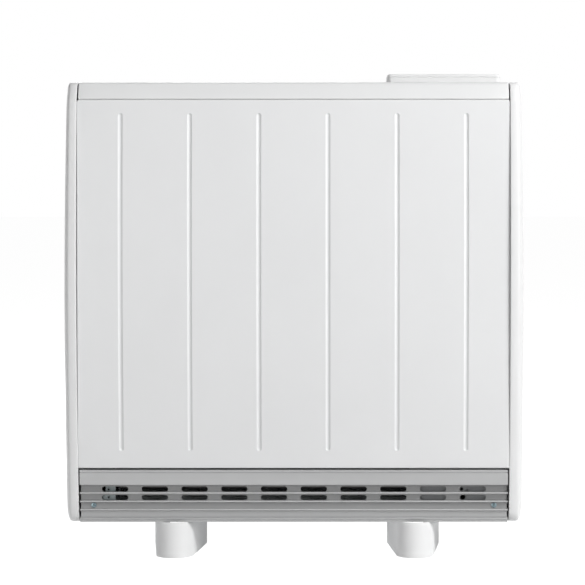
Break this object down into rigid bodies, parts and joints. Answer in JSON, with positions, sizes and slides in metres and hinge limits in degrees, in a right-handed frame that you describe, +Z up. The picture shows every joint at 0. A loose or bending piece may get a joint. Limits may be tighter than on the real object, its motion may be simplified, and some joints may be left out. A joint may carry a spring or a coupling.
{
  "type": "storage heater",
  "caption": "Floor-standing fan-assisted storage heater: bowed grooved front, end caps, finned outlet grille, two feet and a control pod on the lid.",
  "frame": {"origin": "on the floor under the middle of the bounding box of the case", "axes": "+Z up; the front faces -Y and the wall is at +Y; +X is the right-hand side seen from the front"},
  "size_m": [0.711, 0.185, 0.7466],
  "materials": {
    "white_steel": "satin white powder coat",
    "white_cap": "satin white powder coat",
    "galvanised": "galvanised sheet",
    "grille_alu": "silver-grey satin anodised",
    "zinc_screw": "bright zinc",
    "insulation": "matt mineral board",
    "brick": "matt fired iron oxide brick",
    "element_steel": "heat-resistant steel tube",
    "fan_steel": "thin rolled sheet",
    "shaft_steel": "ground",
    "bronze": "sintered bronze",
    "motor_steel": "dark laminations",
    "plate_grey": "grey primer",
    "black_plastic": "moulded, matt",
    "cream_plastic": "moulded, matt",
    "red_plastic": "moulded",
    "board_green": "solder resist",
    "white_plastic": "moulded, fine satin",
    "window": "smoked, polished",
    "button_grey": "soft satin",
    "sleeve": "woven heat sleeve"
  },
  "bodies": {
    "heater": {"front_panel": "white_steel", "lid": "white_steel", "end_cap_left": "white_cap", "end_cap_right": "white_cap", "rear_panel": "galvanised", "side_panel_left": "galvanised", "side_panel_right": "galvanised", "base_tray": "galvanised", "outlet_grille": "grille_alu", "grille_screws": "zinc_screw", "foot_left": "white_steel", "foot_right": "white_steel", "foot_frame_left": "galvanised", "foot_frame_right": "galvanised", "foot_screws": "zinc_screw", "inner_front_panel": "galvanised", "core_shelf": "galvanised", "compartment_wall": "galvanised", "insulation_front": "insulation", "insulation_rear": "insulation", "insulation_left": "insulation", "insulation_right": "insulation", "insulation_top": "insulation", "insulation_base": "insulation", "core_brick_1": "brick", "core_brick_2": "brick", "core_brick_3": "brick", "core_brick_4": "brick", "core_brick_5": "brick", "core_brick_6": "brick", "core_brick_7": "brick", "core_brick_8": "brick", "heating_element_1": "element_steel", "heating_element_2": "element_steel", "heating_element_3": "element_steel", "fan_housing": "galvanised", "fan_bearings": "bronze", "fan_bracket": "galvanised", "fan_motor": "motor_steel", "damper_actuator": "black_plastic", "control_plate": "plate_grey", "terminal_block": "cream_plastic", "thermal_cutout": "black_plastic", "core_sensor": "element_steel", "control_board": "board_green", "cable_gland": "black_plastic", "pod_base": "white_plastic", "pod_fascia": "white_plastic", "display_window": "window", "wall_spacer_left": "black_plastic", "wall_spacer_right": "black_plastic", "case_screws": "zinc_screw", "wiring_loom": "sleeve"},
    "fan": {"fan_rotor": "fan_steel", "fan_shaft": "shaft_steel"},
    "damper": {"mixing_damper": "galvanised"},
    "key_down": {"button_down": "button_grey"},
    "key_select": {"button_select": "button_grey"},
    "key_up": {"button_up": "button_grey"},
    "cutout_key": {"reset_button": "red_plastic"}
  },
  "joints": [
    {"name": "fan_spin", "type": "hinge", "parent": "heater", "child": "fan", "pos_m": [0, 0.014, 0.1032], "axis": [1, 0, 0], "continuous": true},
    {"name": "damper_swing", "type": "hinge", "parent": "heater", "child": "damper", "pos_m": [0, -0.05031, 0.135], "axis": [1, 0, 0], "range_deg": [0, 60]},
    {"name": "down_press", "type": "slide", "parent": "heater", "child": "key_down", "axis": [0, 0, -1], "range_m": [0, 0.0008], "stiffness_N_per_m": 600, "springref_m": -0.0004},
    {"name": "select_press", "type": "slide", "parent": "heater", "child": "key_select", "axis": [0, 0, -1], "range_m": [0, 0.0008], "stiffness_N_per_m": 600, "springref_m": -0.0004},
    {"name": "up_press", "type": "slide", "parent": "heater", "child": "key_up", "axis": [0, 0, -1], "range_m": [0, 0.0008], "stiffness_N_per_m": 600, "springref_m": -0.0004},
    {"name": "reset_press", "type": "slide", "parent": "heater", "child": "cutout_key", "axis": [-1, 0, 0], "range_m": [0, 0.0008], "stiffness_N_per_m": 600, "springref_m": -0.0004}
  ]
}
